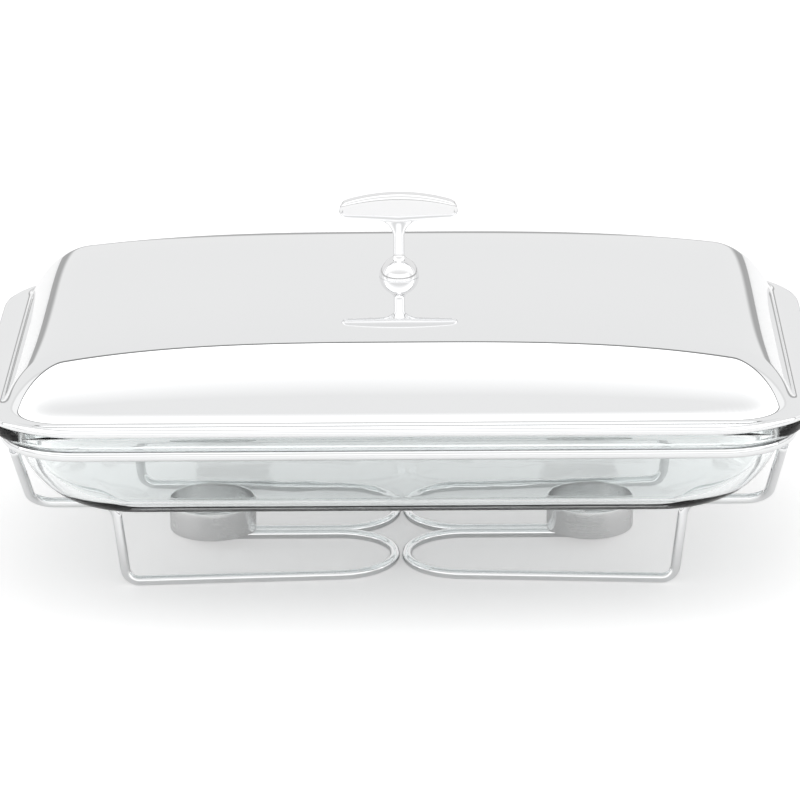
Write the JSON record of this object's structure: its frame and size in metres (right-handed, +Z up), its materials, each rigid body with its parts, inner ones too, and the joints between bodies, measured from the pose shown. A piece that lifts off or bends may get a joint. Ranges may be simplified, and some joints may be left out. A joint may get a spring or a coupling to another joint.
{
  "type": "chafing dish food warmer",
  "caption": "Rectangular food warmer: glass dish in a bent-wire stand with tealight cups and a domed steel lid with a T handle.",
  "frame": {"origin": "on the table, under the middle of the stand", "axes": "+X along the dish to the right, -Y to the front, +Z up"},
  "size_m": [0.413, 0.2626, 0.1821],
  "materials": {
    "stand_wire": "bright chrome-plated steel wire",
    "holder_steel": "spun stainless steel, polished, faint turning lines",
    "glass": "clear pressed glass with a pale green-blue cast",
    "lid_steel": "mirror-polished stainless steel sheet",
    "handle_steel": "polished cast stainless steel",
    "fastener_steel": "plain stainless steel",
    "seal_silicone": "translucent white silicone"
  },
  "bodies": {
    "stand": {"rim_ring": "stand_wire", "leg_wire_front_left": "stand_wire", "leg_wire_front_right": "stand_wire", "leg_wire_rear_left": "stand_wire", "leg_wire_rear_right": "stand_wire", "tealight_holder_left": "holder_steel", "tealight_holder_right": "holder_steel"},
    "dish": {"glass_dish": "glass"},
    "lid": {"lid_shell": "lid_steel", "lid_handle": "handle_steel", "handle_seal": "seal_silicone", "handle_washer": "fastener_steel", "handle_screw": "fastener_steel"}
  },
  "joints": [
    {"name": "dish_lift", "type": "slide", "parent": "stand", "child": "dish", "axis": [0, 0, 1], "range_m": [0, 0.12]},
    {"name": "lid_lift", "type": "slide", "parent": "dish", "child": "lid", "axis": [0, 0, 1], "range_m": [0, 0.12]}
  ]
}
